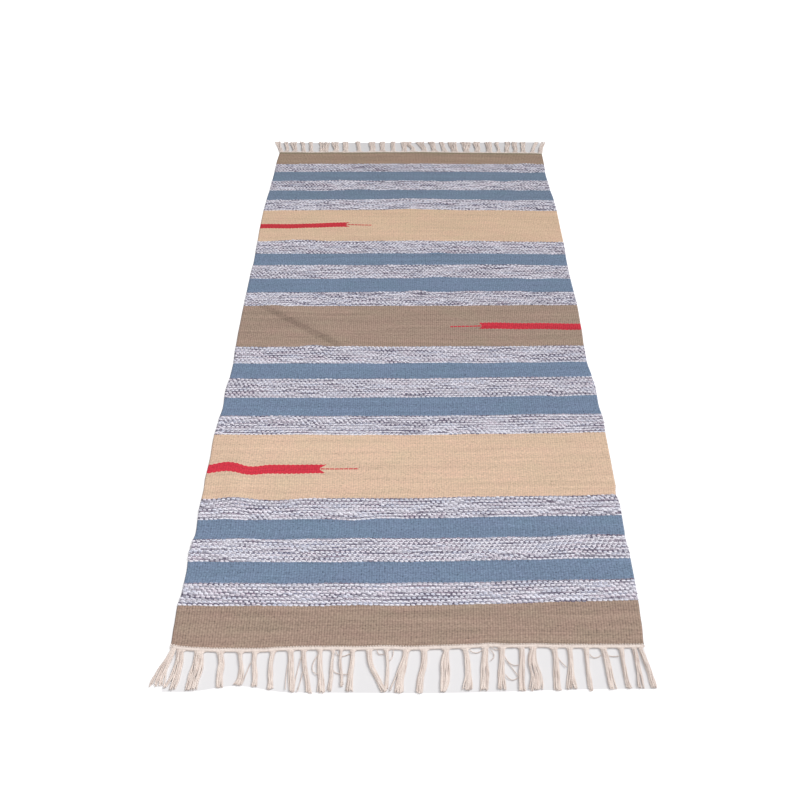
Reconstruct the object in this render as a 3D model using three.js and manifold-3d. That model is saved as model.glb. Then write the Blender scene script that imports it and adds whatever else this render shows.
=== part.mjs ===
// Kilim rug lying flat: one woven cloth and a fringe of warp ends along each short end.
// Millimetres. +Z is up, +Y runs along the cloth to the far end, +X to the right selvedge.
// The origin is the middle of the cloth, on the floor.
import * as THREE from "three";
import { mergeVertices } from "three/addons/utils/BufferGeometryUtils.js";
import Module from "manifold-3d";

const wasm = await Module();
wasm.setup();

// Cloth
const CLOTH_WIDTH = 700;
const CLOTH_LENGTH = 1398;
const CLOTH_THICKNESS = 3.4;
const EDGE_ROUNDING = 1.2; // how far the upper and lower faces stop short of the turned edge
const NEAR_END_SLOPE = 0.015; // the near end runs slightly off square
const FAR_END_SLOPE = -0.0043;
const COLUMNS = 20;
const ROWS = 57; // with so many, the cells' diagonals run the way the crease does

// How far each selvedge stands out of true, from place to place along; outwards is plus.
const SELVEDGES = [
  { place: -699, left: -1, right: -7.8 },
  { place: -665, left: 0.6, right: -4.4 },
  { place: -635, left: 2, right: -2.4 },
  { place: -618, left: -0.2, right: -1.5 },
  { place: -575, left: -0.6, right: -0.7 },
  { place: -540, left: 2.4, right: 0.1 },
  { place: -519, left: 1.1, right: -1.8 },
  { place: -500, left: -2, right: -0.3 },
  { place: -450, left: 1.2, right: 1.4 },
  { place: -429, left: 0.9, right: -2.1 },
  { place: -410, left: 0.6, right: 1.1 },
  { place: -390, left: 2.2, right: 1.3 },
  { place: -345, left: 1.4, right: 2.2 },
  { place: -300, left: 3.2, right: 2.9 },
  { place: -255, left: 1, right: 4.7 },
  { place: -220, left: -2, right: 1.7 },
  { place: -175, left: 0.4, right: 3.4 },
  { place: -140, left: -3, right: 0.6 },
  { place: -105, left: -3.7, right: -2.8 },
  { place: -60, left: -1.3, right: -2.1 },
  { place: 0, left: 0, right: 0.6 },
  { place: 65, left: 0.7, right: 2.1 },
  { place: 190, left: 0.8, right: -0.1 },
  { place: 225, left: -0.6, right: 0 },
  { place: 300, left: 1.2, right: 2.1 },
  { place: 365, left: 2.6, right: 2 },
  { place: 430, left: 2.9, right: 2.3 },
  { place: 480, left: 1.2, right: 0.9 },
  { place: 530, left: -1.4, right: -2.8 },
  { place: 600, left: -3.5, right: -6 },
  { place: 650, left: -3.7, right: -4.2 },
  { place: 699, left: -6.2, right: -4.2 },
];

// How far each end strays from its straight line, from place to place across; +Y is plus.
const NEAR_END_WAVER = [
  { place: -350, stray: 5 },
  { place: -330, stray: 1.7 },
  { place: -313, stray: 0 },
  { place: -280, stray: -1.6 },
  { place: -216, stray: -2.5 },
  { place: -185, stray: -0.7 },
  { place: -150, stray: 0.1 },
  { place: -105, stray: -0.3 },
  { place: -72, stray: -1 },
  { place: -40, stray: 0 },
  { place: 5, stray: -1.4 },
  { place: 45, stray: -0.3 },
  { place: 85, stray: 0.6 },
  { place: 120, stray: 2.2 },
  { place: 150, stray: 0.6 },
  { place: 185, stray: 1 },
  { place: 215, stray: -0.2 },
  { place: 265, stray: -1 },
  { place: 310, stray: -1.3 },
  { place: 350, stray: -1.4 },
];
const FAR_END_WAVER = [
  { place: -350, stray: 3.6 },
  { place: -300, stray: 3.6 },
  { place: -255, stray: 1.8 },
  { place: -200, stray: 3.4 },
  { place: -155, stray: 2.2 },
  { place: -115, stray: 3 },
  { place: -80, stray: 4.2 },
  { place: -30, stray: 3.6 },
  { place: 20, stray: 4.6 },
  { place: 70, stray: 3.6 },
  { place: 100, stray: 2.2 },
  { place: 145, stray: 1 },
  { place: 190, stray: 0.2 },
  { place: 260, stray: -1 },
  { place: 320, stray: -2 },
  { place: 350, stray: -4.2 },
];

// Low ripples where the cloth lifts off the floor. turn is the ridge's heading in degrees from +X.
const RIPPLES = [
  { x: -300, y: -425, turn: 90, halfLength: 120, halfWidth: 34, height: 2.4 },
  { x: 165, y: 100, turn: -14, halfLength: 130, halfWidth: 42, height: 2.6 },
  { x: 0, y: 455, turn: 4, halfLength: 120, halfWidth: 44, height: 2.4 },
  { x: 255, y: -210, turn: 12, halfLength: 100, halfWidth: 46, height: 2.0 },
  { x: -270, y: 315, turn: 35, halfLength: 80, halfWidth: 38, height: 2.0 },
];

// The one sharp crease: it falls away within steep on its left side and gentle on its right.
const CREASE = { startX: -330, startY: 96.5, endX: -104, endY: -67, height: 4, steep: 17, gentle: 55 };

// Fringe
const GAP = 0.3; // between the cloth and each heading
const HEADING_DEPTH = 5.2;
const HEADING_HEIGHT = 3.8;
const HEADING_INSET = 2.5; // from each selvedge to the heading's ends
const HEADING_TAPER = 4;
const SIDES = 6;

// A tassel's section along its length, as shares of its length and of its width there, and heights
const TASSEL_STATIONS = [
  { along: 0, share: 0.8, bottom: 0.8, top: 3.0 },
  { along: 0.3, share: 0.95, bottom: 0, top: 4.4 },
  { along: 0.68, share: 1, bottom: 0, top: 3.8 },
  { along: 1, share: 0.95, bottom: 0, top: 2.2 },
];

// Tassels from left to right: the places of root, middle and tip, the widths there, and how far
// out from the end of the cloth the tip lies.
const NEAR_TASSELS = [
  { root: -344, middle: -352, tip: -357, rootWidth: 8, middleWidth: 15, tipWidth: 20, length: 63 },
  { root: -333, middle: -332, tip: -337, rootWidth: 11, middleWidth: 14, tipWidth: 19, length: 65 },
  { root: -305, middle: -305, tip: -308, rootWidth: 13, middleWidth: 18, tipWidth: 16, length: 64 },
  { root: -274, middle: -270, tip: -268, rootWidth: 9, middleWidth: 10, tipWidth: 11, length: 59 },
  { root: -245, middle: -240, tip: -242, rootWidth: 7, middleWidth: 7, tipWidth: 12, length: 55 },
  { root: -224, middle: -221, tip: -219, rootWidth: 7, middleWidth: 8, tipWidth: 9, length: 57 },
  { root: -198, middle: -198, tip: -197, rootWidth: 7, middleWidth: 8, tipWidth: 8, length: 63 },
  { root: -172, middle: -168, tip: -164, rootWidth: 8, middleWidth: 10, tipWidth: 8, length: 68 },
  { root: -153, middle: -148, tip: -141, rootWidth: 7, middleWidth: 8, tipWidth: 8, length: 70 },
  { root: -129, middle: -127, tip: -122, rootWidth: 7, middleWidth: 9, tipWidth: 10, length: 70 },
  { root: -110, middle: -111, tip: -112, rootWidth: 5, middleWidth: 3, tipWidth: 3, length: 67 },
  { root: -99, middle: -98, tip: -95, rootWidth: 4, middleWidth: 4, tipWidth: 4, length: 60 },
  { root: -82, middle: -83, tip: -83, rootWidth: 7, middleWidth: 8, tipWidth: 10, length: 67 },
  { root: -58, middle: -51, tip: -35, rootWidth: 8, middleWidth: 8, tipWidth: 7, length: 69 },
  { root: -33, middle: -31, tip: -34, rootWidth: 6, middleWidth: 4, tipWidth: 4, length: 67 },
  { root: -4, middle: -11, tip: -16, rootWidth: 9, middleWidth: 12, tipWidth: 14, length: 70 },
  { root: 22, middle: 19, tip: 14, rootWidth: 9, middleWidth: 11, tipWidth: 11, length: 70 },
  { root: 54, middle: 51, tip: 48, rootWidth: 8, middleWidth: 15, tipWidth: 9, length: 69 },
  { root: 82, middle: 84, tip: 82, rootWidth: 8, middleWidth: 9, tipWidth: 13, length: 68 },
  { root: 111, middle: 108, tip: 106, rootWidth: 8, middleWidth: 12, tipWidth: 12, length: 70 },
  { root: 135, middle: 132, tip: 130, rootWidth: 9, middleWidth: 9, tipWidth: 12, length: 69 },
  { root: 164, middle: 161, tip: 159, rootWidth: 8, middleWidth: 9, tipWidth: 9, length: 70 },
  { root: 180, middle: 179, tip: 178, rootWidth: 9, middleWidth: 17, tipWidth: 18, length: 70 },
  { root: 211, middle: 210, tip: 209, rootWidth: 8, middleWidth: 9, tipWidth: 11, length: 69 },
  { root: 233, middle: 231, tip: 229, rootWidth: 7, middleWidth: 9, tipWidth: 17, length: 68 },
  { root: 257, middle: 255, tip: 255, rootWidth: 7, middleWidth: 6, tipWidth: 7, length: 69 },
  { root: 282, middle: 284, tip: 285, rootWidth: 8, middleWidth: 10, tipWidth: 9, length: 67 },
  { root: 308, middle: 307, tip: 308, rootWidth: 7, middleWidth: 6, tipWidth: 8, length: 66 },
  { root: 327, middle: 327, tip: 327, rootWidth: 7, middleWidth: 8, tipWidth: 9, length: 67 },
  { root: 336, middle: 341, tip: 343, rootWidth: 6, middleWidth: 8, tipWidth: 8, length: 65 },
];
const FAR_TASSELS = [
  { root: -342, middle: -349, tip: -355, rootWidth: 11, middleWidth: 13, tipWidth: 15, length: 56 },
  { root: -325, middle: -328, tip: -331, rootWidth: 9, middleWidth: 10, tipWidth: 11, length: 56 },
  { root: -304, middle: -308, tip: -312, rootWidth: 11, middleWidth: 16, tipWidth: 20, length: 56 },
  { root: -280, middle: -284, tip: -289, rootWidth: 11, middleWidth: 10, tipWidth: 11, length: 56 },
  { root: -261, middle: -263, tip: -266, rootWidth: 9, middleWidth: 9, tipWidth: 10, length: 57 },
  { root: -227, middle: -229, tip: -232, rootWidth: 22, middleWidth: 26, tipWidth: 28, length: 56 },
  { root: -195, middle: -198, tip: -201, rootWidth: 13, middleWidth: 16, tipWidth: 20, length: 56 },
  { root: -170, middle: -171, tip: -173, rootWidth: 13, middleWidth: 15, tipWidth: 15, length: 57 },
  { root: -134, middle: -136, tip: -139, rootWidth: 11, middleWidth: 10, tipWidth: 11, length: 58 },
  { root: -99, middle: -100, tip: -102, rootWidth: 14, middleWidth: 16, tipWidth: 17, length: 56 },
  { root: -72, middle: -73, tip: -73, rootWidth: 13, middleWidth: 13, tipWidth: 15, length: 55 },
  { root: -44, middle: -45, tip: -46, rootWidth: 11, middleWidth: 11, tipWidth: 13, length: 56 },
  { root: -15, middle: -15, tip: -16, rootWidth: 13, middleWidth: 13, tipWidth: 17, length: 56 },
  { root: 8, middle: 2, tip: -3, rootWidth: 12, middleWidth: 13, tipWidth: 17, length: 55 },
  { root: 38, middle: 33, tip: 26, rootWidth: 13, middleWidth: 17, tipWidth: 24, length: 55 },
  { root: 65, middle: 62, tip: 57, rootWidth: 14, middleWidth: 13, tipWidth: 18, length: 56 },
  { root: 92, middle: 88, tip: 83, rootWidth: 13, middleWidth: 11, tipWidth: 12, length: 56 },
  { root: 118, middle: 115, tip: 113, rootWidth: 16, middleWidth: 20, tipWidth: 27, length: 57 },
  { root: 149, middle: 149, tip: 148, rootWidth: 14, middleWidth: 19, tipWidth: 28, length: 58 },
  { root: 177, middle: 178, tip: 178, rootWidth: 13, middleWidth: 16, tipWidth: 19, length: 59 },
  { root: 209, middle: 209, tip: 209, rootWidth: 14, middleWidth: 17, tipWidth: 20, length: 59 },
  { root: 233, middle: 233, tip: 233, rootWidth: 8, middleWidth: 8, tipWidth: 10, length: 59 },
  { root: 256, middle: 258, tip: 260, rootWidth: 12, middleWidth: 13, tipWidth: 17, length: 60 },
  { root: 277, middle: 278, tip: 279, rootWidth: 11, middleWidth: 12, tipWidth: 15, length: 60 },
  { root: 298, middle: 300, tip: 302, rootWidth: 11, middleWidth: 13, tipWidth: 16, length: 60 },
  { root: 322, middle: 329, tip: 337, rootWidth: 9, middleWidth: 10, tipWidth: 11, length: 61 },
  { root: 343, middle: 348, tip: 354, rootWidth: 11, middleWidth: 12, tipWidth: 13, length: 62 },
];

const CLOTH_COLOUR = 0xab9f9c;
const WARP_COLOUR = 0xdccdbd;

// Eases between a table's rows: the value of one of its columns at a place.
function eased(table, column, place) {
  const last = table.length - 2;
  const k = table.findIndex((row, i) => i === last || place < table[i + 1].place);
  const t = THREE.MathUtils.smoothstep(place, table[k].place, table[k + 1].place);
  return THREE.MathUtils.lerp(table[k][column], table[k + 1][column], t);
}

// The y of each end of the cloth at a given x
function nearEnd(x) {
  return -CLOTH_LENGTH / 2 + NEAR_END_SLOPE * x + eased(NEAR_END_WAVER, "stray", x);
}

function farEnd(x) {
  return CLOTH_LENGTH / 2 + FAR_END_SLOPE * x + eased(FAR_END_WAVER, "stray", x);
}

// A soft mound: 1 at the middle, falling to 0 where u or v reaches 1
function swell(u, v) {
  if (Math.abs(u) >= 1 || Math.abs(v) >= 1) return 0;
  return (Math.cos((u * Math.PI) / 2) * Math.cos((v * Math.PI) / 2)) ** 2;
}

// Height of the cloth's underside off the floor
function lift(x, y) {
  let height = 0;
  for (const ripple of RIPPLES) {
    const turn = THREE.MathUtils.degToRad(ripple.turn);
    const dx = x - ripple.x;
    const dy = y - ripple.y;
    const along = (dx * Math.cos(turn) + dy * Math.sin(turn)) / ripple.halfLength;
    const across = (dy * Math.cos(turn) - dx * Math.sin(turn)) / ripple.halfWidth;
    height += ripple.height * swell(along, across);
  }
  const runX = CREASE.endX - CREASE.startX;
  const runY = CREASE.endY - CREASE.startY;
  const run = Math.hypot(runX, runY);
  const dx = x - CREASE.startX;
  const dy = y - CREASE.startY;
  const along = (dx * runX + dy * runY) / run ** 2;
  const aside = (dy * runX - dx * runY) / run;
  const fall = aside / (aside > 0 ? CREASE.gentle : CREASE.steep);
  const crest = Math.min(1, 2 * swell(2 * along - 1, 0));
  return height + CREASE.height * crest * swell(0, fall);
}

// A point of the cloth's plan: u runs 0 to 1 from left to right, v from the near to the far end.
function planPoint(u, v, inset) {
  const roughY = THREE.MathUtils.lerp(-CLOTH_LENGTH / 2, CLOTH_LENGTH / 2, v);
  const left = -CLOTH_WIDTH / 2 - eased(SELVEDGES, "left", roughY) + inset;
  const right = CLOTH_WIDTH / 2 + eased(SELVEDGES, "right", roughY) - inset;
  const x = THREE.MathUtils.lerp(left, right, u);
  const y = THREE.MathUtils.lerp(nearEnd(x) + inset, farEnd(x) - inset, v);
  return [x, y];
}

function geometryFrom(points, faces) {
  const geometry = new THREE.BufferGeometry();
  geometry.setAttribute("position", new THREE.Float32BufferAttribute(points.flat(), 3));
  geometry.setIndex(faces.flat());
  return geometry;
}

function clothGeometry() {
  const points = [];
  const faces = [];
  const across = COLUMNS + 1;
  const layer = across * (ROWS + 1);
  for (const thickness of [CLOTH_THICKNESS, 0]) {
    for (let j = 0; j <= ROWS; j++) {
      for (let i = 0; i <= COLUMNS; i++) {
        const [x, y] = planPoint(i / COLUMNS, j / ROWS, EDGE_ROUNDING);
        points.push([x, y, lift(x, y) + thickness]);
      }
    }
  }
  for (let j = 0; j < ROWS; j++) {
    for (let i = 0; i < COLUMNS; i++) {
      const a = j * across + i;
      const b = a + 1;
      const c = a + across;
      const d = c + 1;
      faces.push([a, b, c], [b, d, c]);
      faces.push([layer + a, layer + c, layer + b], [layer + b, layer + c, layer + d]);
    }
  }
  // The turned edge: one ring of points halfway up, all round the plan
  const ring = [];
  for (let i = 0; i < COLUMNS; i++) ring.push([i, 0]);
  for (let j = 0; j < ROWS; j++) ring.push([COLUMNS, j]);
  for (let i = COLUMNS; i > 0; i--) ring.push([i, ROWS]);
  for (let j = ROWS; j > 0; j--) ring.push([0, j]);
  const firstRim = points.length;
  for (const [i, j] of ring) {
    const [x, y] = planPoint(i / COLUMNS, j / ROWS, 0);
    points.push([x, y, lift(x, y) + CLOTH_THICKNESS / 2]);
  }
  ring.forEach(([i, j], k) => {
    const [nextI, nextJ] = ring[(k + 1) % ring.length];
    const top = j * across + i;
    const nextTop = nextJ * across + nextI;
    const rim = firstRim + k;
    const nextRim = firstRim + ((k + 1) % ring.length);
    faces.push([top, rim, nextRim], [top, nextRim, nextTop]);
    faces.push([rim, layer + top, layer + nextTop], [rim, layer + nextTop, nextRim]);
  });
  return geometryFrom(points, faces);
}

// Joins rings of points, each seen anticlockwise from the last ring's side, into a closed solid.
function loft(rings) {
  const points = rings.flat();
  const sides = rings[0].length;
  const faces = [];
  for (let r = 0; r < rings.length - 1; r++) {
    for (let s = 0; s < sides; s++) {
      const a = r * sides + s;
      const b = r * sides + ((s + 1) % sides);
      faces.push([a, b, b + sides], [a, b + sides, a + sides]);
    }
  }
  const lastRing = (rings.length - 1) * sides;
  for (let s = 1; s < sides - 1; s++) {
    faces.push([0, s + 1, s], [lastRing, lastRing + s, lastRing + s + 1]);
  }
  return geometryFrom(points, faces);
}

function toManifold(geometry) {
  const plain = geometry.clone();
  plain.deleteAttribute("normal");
  plain.deleteAttribute("uv");
  const merged = mergeVertices(plain);
  return new wasm.Manifold(
    new wasm.Mesh({
      numProp: 3,
      vertProperties: new Float32Array(merged.attributes.position.array),
      triVerts: new Uint32Array(merged.index.array),
    }),
  );
}

function fromManifold(solid) {
  const mesh = solid.getMesh();
  const geometry = new THREE.BufferGeometry();
  geometry.setAttribute("position", new THREE.BufferAttribute(mesh.vertProperties, 3));
  geometry.setIndex(new THREE.BufferAttribute(mesh.triVerts, 1));
  return geometry;
}

// The twined cord along an end: a flattened bar with tapered ends that keeps a gap to the cloth.
// out is -1 for the near end and 1 for the far one.
function headingGeometry(out) {
  const edge = [];
  for (let i = 0; i <= COLUMNS; i++) edge.push(planPoint(i / COLUMNS, out < 0 ? 0 : 1, 0));
  const onEdge = (x) => {
    const k = Math.max(1, edge.findIndex((point) => point[0] >= x));
    const [fromX, fromY] = edge[k - 1];
    const [toX, toY] = edge[k];
    return THREE.MathUtils.mapLinear(x, fromX, toX, fromY, toY);
  };
  const left = edge[0][0] + HEADING_INSET;
  const right = edge[COLUMNS][0] - HEADING_INSET;
  const stations = [
    { x: left, size: 0.6 },
    { x: left + HEADING_TAPER, size: 1 },
    ...edge.slice(1, COLUMNS).map(([x]) => ({ x, size: 1 })),
    { x: right - HEADING_TAPER, size: 1 },
    { x: right, size: 0.6 },
  ];
  const rings = stations.map(({ x, size }) => {
    const middle = onEdge(x) + out * (GAP + HEADING_DEPTH / 2);
    const halfDepth = (HEADING_DEPTH / 2) * size;
    const ring = [];
    for (let s = 0; s < SIDES; s++) {
      const angle = (s / SIDES) * 2 * Math.PI;
      const y = middle + halfDepth * Math.cos(angle);
      const rise = (Math.sin(angle) / Math.sin(Math.PI / 3) + 1) / 2;
      ring.push([x, y, HEADING_HEIGHT * size * rise]);
    }
    return ring;
  });
  return loft(rings);
}

// The value at t on the parabola through three values at 0, 0.5 and 1
function through(start, middle, end, t) {
  return start * (1 - t) * (1 - 2 * t) + middle * 4 * t * (1 - t) + end * t * (2 * t - 1);
}

// One tassel: a flattened bundle that leaves the heading narrow, swells and thins to its tip.
function tasselGeometry(tassel, out) {
  const end = out < 0 ? nearEnd : farEnd;
  const start = GAP + HEADING_DEPTH * 0.45;
  const rings = TASSEL_STATIONS.map(({ along, share, bottom, top }) => {
    const x = through(tassel.root, tassel.middle, tassel.tip, along);
    const width = through(tassel.rootWidth, tassel.middleWidth, tassel.tipWidth, along);
    const halfWidth = (width / 2) * share;
    const y = end(x) + out * THREE.MathUtils.lerp(start, tassel.length, along);
    const ring = [];
    for (let s = 0; s < SIDES; s++) {
      const angle = out * (s / SIDES) * 2 * Math.PI;
      const rise = (Math.sin(angle) / Math.sin(Math.PI / 3) + 1) / 2;
      ring.push([x - halfWidth * Math.cos(angle), y, THREE.MathUtils.lerp(bottom, top, rise)]);
    }
    return ring;
  });
  return loft(rings);
}

function fringeGeometry(tassels, out) {
  let comb = toManifold(headingGeometry(out));
  for (const tassel of tassels) comb = comb.add(toManifold(tasselGeometry(tassel, out)));
  return fromManifold(comb);
}

const group = new THREE.Group();
group.name = "kilim_rug";

function addNode(name, geometry, colour, roughness) {
  const material = new THREE.MeshStandardMaterial({ color: colour, roughness, metalness: 0 });
  const mesh = new THREE.Mesh(geometry, material);
  mesh.name = name;
  group.add(mesh);
}

addNode("woven_field", clothGeometry(), CLOTH_COLOUR, 0.95);
addNode("near_fringe", fringeGeometry(NEAR_TASSELS, -1), WARP_COLOUR, 0.9);
addNode("far_fringe", fringeGeometry(FAR_TASSELS, 1), WARP_COLOUR, 0.9);

export default group;
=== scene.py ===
# Kilim rug: a flat-woven cotton cloth with a tasselled fringe along each end, lying on a floor.
import itertools
import math
import random

import bmesh
import bpy
import numpy as np
from mathutils import Matrix, Vector, noise


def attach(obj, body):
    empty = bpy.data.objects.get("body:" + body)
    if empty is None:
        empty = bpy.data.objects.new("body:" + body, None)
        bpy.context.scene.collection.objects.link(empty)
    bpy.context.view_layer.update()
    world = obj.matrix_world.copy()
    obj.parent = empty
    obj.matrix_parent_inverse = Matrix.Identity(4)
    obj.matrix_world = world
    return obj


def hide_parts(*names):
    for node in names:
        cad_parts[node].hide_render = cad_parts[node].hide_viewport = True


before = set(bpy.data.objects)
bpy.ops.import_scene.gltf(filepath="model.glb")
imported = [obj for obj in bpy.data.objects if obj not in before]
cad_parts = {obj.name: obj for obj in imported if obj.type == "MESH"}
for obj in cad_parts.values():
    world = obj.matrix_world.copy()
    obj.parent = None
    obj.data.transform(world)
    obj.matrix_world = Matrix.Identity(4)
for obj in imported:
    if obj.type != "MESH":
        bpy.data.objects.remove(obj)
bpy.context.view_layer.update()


# --------------------------------------
# Camera. It stands in front of the near end, a little over a metre up, and looks down along the
# rug, so that the near fringe lies across the foot of the view.
# --------------------------------------
CAMERA_PLACE = (0.0007, -1.2781, 1.1215)
CAMERA_PITCH = math.radians(46.12)  # below the horizon
CAMERA_YAW = math.radians(0.99)
CAMERA_ROLL = math.radians(-0.65)
CAMERA_LENS = 37.26  # mm
CAMERA_SENSOR = 36  # mm


def show(name, data):
    """Puts a mesh, a camera or a light in the scene as an object of that name."""
    shown = bpy.data.objects.new(name, data)
    bpy.context.scene.collection.objects.link(shown)
    return shown


camera_data = bpy.data.cameras.new("camera")
camera_data.lens = CAMERA_LENS
camera_data.sensor_width = CAMERA_SENSOR
camera = show("camera", camera_data)
camera.matrix_world = (
    Matrix.Translation(CAMERA_PLACE)
    @ Matrix.Rotation(CAMERA_YAW, 4, "Z")
    @ Matrix.Rotation(math.pi / 2 - CAMERA_PITCH, 4, "X")
    @ Matrix.Rotation(CAMERA_ROLL, 4, "Z")
)
bpy.context.scene.camera = camera


# --------------------------------------
# Cloth. Cotton weft packed over cotton warp in plain weave, so that only weft shows, in ribs
# over the warp ends. Each stripe is so many picks of one colour, beaten in by the weaver. Off
# the loom it is a little uneven: selvedges wander, wefts drift and bow, and it ripples.
# --------------------------------------
MM = 0.001
CLOTH_WIDTH = 0.700
CLOTH_LENGTH = 1.398
CLOTH_THICKNESS = 0.0034
NEAR_END_SLOPE = 0.015
FAR_END_SLOPE = -0.0043
LEFT, RIGHT = 1, 2  # columns of the tables
STRAY = 1

# All five tables are in millimetres. How far each selvedge stands outside its true line: the
# place along, and how far on the left and on the right.
SELVEDGES = (
    (-699, -1, -7.8), (-665, 0.6, -4.4), (-635, 2, -2.4), (-618, -0.2, -1.5), (-575, -0.6, -0.7),
    (-540, 2.4, 0.1), (-519, 1.1, -1.8), (-500, -2, -0.3), (-450, 1.2, 1.4), (-429, 0.9, -2.1),
    (-410, 0.6, 1.1), (-390, 2.2, 1.3), (-345, 1.4, 2.2), (-300, 3.2, 2.9), (-255, 1, 4.7),
    (-220, -2, 1.7), (-175, 0.4, 3.4), (-140, -3, 0.6), (-105, -3.7, -2.8), (-60, -1.3, -2.1),
    (0, 0, 0.6), (65, 0.7, 2.1), (190, 0.8, -0.1), (225, -0.6, 0), (300, 1.2, 2.1), (365, 2.6, 2),
    (430, 2.9, 2.3), (480, 1.2, 0.9), (530, -1.4, -2.8), (600, -3.5, -6), (650, -3.7, -4.2),
    (699, -6.2, -4.2),
)

# How far the wefts drift towards the far end by the time they reach each selvedge: as above.
WEFT_DRIFT = (
    (-700, 0, 0), (-630, 3, 5.8), (-560, 3.4, 4.6), (-470, -0.5, 3.5), (-420, 0.7, 3.8),
    (-290, 3.1, 2.9), (-150, 1.5, 3.5), (-50, 1, 0), (70, 1.5, 1.5), (120, -1.8, -2.2),
    (250, -0.4, -4.6), (430, -2.2, -5.8), (560, -1.8, -1.2), (640, -1.1, -3.9), (700, 0, 0),
)

# How far each end of the cloth strays from its straight line towards the far end: the place
# across, and how far.
NEAR_END_WAVER = (
    (-350, 5), (-330, 1.7), (-313, 0), (-280, -1.6), (-216, -2.5), (-185, -0.7), (-150, 0.1),
    (-105, -0.3), (-72, -1), (-40, 0), (5, -1.4), (45, -0.3), (85, 0.6), (120, 2.2), (150, 0.6),
    (185, 1), (215, -0.2), (265, -1), (310, -1.3), (350, -1.4),
)
FAR_END_WAVER = (
    (-350, 3.6), (-300, 3.6), (-255, 1.8), (-200, 3.4), (-155, 2.2), (-115, 3), (-80, 4.2),
    (-30, 3.6), (20, 4.6), (70, 3.6), (100, 2.2), (145, 1), (190, 0.2), (260, -1), (320, -2),
    (350, -4.2),
)
WAVER_REACH = 0.045  # how far into the cloth that is felt

# Places where the wefts bow: across, along, half width, half length, rise.
WEFT_BOWS = (
    (-317, -363, 37, 48, 6.8), (-272, -360, 30, 50, -3.4), (-290, -432, 40, 40, 2.4),
    (-225, -440, 60, 45, -2.8), (-270, -530, 40, 40, 3), (20, 455, 110, 50, 3),
    (75, 168, 55, 22, 3.5), (215, 120, 55, 22, 4.2), (270, 166, 45, 20, -3),
    (190, 214, 140, 20, 2.4), (-258, 73, 32, 20, -4.2), (-155, 145, 50, 35, -3),
    (-195, -54, 40, 22, 5.5), (275, -196, 40, 22, -3.5), (-210, -511, 60, 22, -1.8),
    (300, -511, 70, 22, 2.8), (-90, -472, 45, 20, -3), (15, 120, 30, 25, 4),
    (-170, 560, 55, 22, 3.5), (90, 562, 40, 20, -4), (240, 562, 35, 20, -4),
    (-120, 518, 50, 20, 3.5), (-225, 518, 70, 20, -3.2), (235, 478, 45, 20, -3.6),
    (275, 518, 30, 20, -3), (300, 643, 40, 20, 3.8), (300, 602, 60, 20, -3.6),
    (-240, 300, 60, 35, 4), (60, 255, 40, 25, 3), (-170, 372, 70, 35, 3),
    (-300, 366, 60, 35, -1.4),
)

# Low ripples off the floor: x, y, the ridge's heading in degrees, half length, half width, height.
RIPPLES = (
    (-0.300, -0.425, 90, 0.120, 0.034, 0.0024),
    (0.165, 0.100, -14, 0.130, 0.042, 0.0026),
    (0.000, 0.455, 4, 0.120, 0.044, 0.0024),
    (0.255, -0.210, 12, 0.100, 0.046, 0.0020),
    (-0.270, 0.315, 35, 0.080, 0.038, 0.0020),
)

# The one sharp crease: where it starts and ends, how high it stands in between, and how far it
# falls away on its steep side, which faces left, and on its other side.
CREASE_START = (-0.330, 0.0965)
CREASE_END = (-0.104, -0.067)
CREASE_HEIGHT = 0.0040
CREASE_STEEP = 0.017
CREASE_GENTLE = 0.055

DRIFT_POWER = 1.4  # how late the drift sets in on the way to a selvedge
WEFT_STRAY = 0.0016  # how far a weft strays in small, without a pattern
STRAY_FINENESS = (17, 26)  # of that, per metre across and along
STRAY_SEED = 4.7
END_STILLNESS = 0.03  # how far from an end the wefts keep still


def ease(table, column, place):
    """The column's value at each place, in metres, eased between the table's rows."""
    rows, values = np.array(table)[:, (0, column)].T * MM
    k = np.clip(np.searchsorted(rows, place, side="right") - 1, 0, len(rows) - 2)
    t = np.clip((place - rows[k]) / (rows[k + 1] - rows[k]), 0, 1)
    t = t * t * (3 - 2 * t)
    return values[k] * (1 - t) + values[k + 1] * t


def near_end(x):
    """The y of the cloth's near end."""
    return -CLOTH_LENGTH / 2 + NEAR_END_SLOPE * x + ease(NEAR_END_WAVER, STRAY, x)


def far_end(x):
    """The y of the cloth's far end."""
    return CLOTH_LENGTH / 2 + FAR_END_SLOPE * x + ease(FAR_END_WAVER, STRAY, x)


def swell(u, v):
    """A soft mound: 1 at u = v = 0, falling to 0 where either reaches 1."""
    inside = (np.abs(u) < 1) & (np.abs(v) < 1)
    mound = np.cos(u * math.pi / 2) ** 2 * np.cos(v * math.pi / 2) ** 2
    return np.where(inside, mound, 0.0)


def lift(x, y):
    """How high the cloth's underside stands off the floor."""
    height = np.zeros_like(x)
    for cx, cy, heading, half_length, half_width, rise in RIPPLES:
        turn = math.radians(heading)
        along = ((x - cx) * math.cos(turn) + (y - cy) * math.sin(turn)) / half_length
        aside = ((y - cy) * math.cos(turn) - (x - cx) * math.sin(turn)) / half_width
        height += rise * swell(along, aside)
    run_x, run_y = (end - start for start, end in zip(CREASE_START, CREASE_END))
    run = math.hypot(run_x, run_y)
    along = ((x - CREASE_START[0]) * run_x + (y - CREASE_START[1]) * run_y) / run ** 2
    aside = ((y - CREASE_START[1]) * run_x - (x - CREASE_START[0]) * run_y) / run
    fall = aside / np.where(aside > 0, CREASE_GENTLE, CREASE_STEEP)
    return height + CREASE_HEIGHT * np.minimum(1, 2 * swell(2 * along - 1, 0)) * swell(0, fall)


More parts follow.
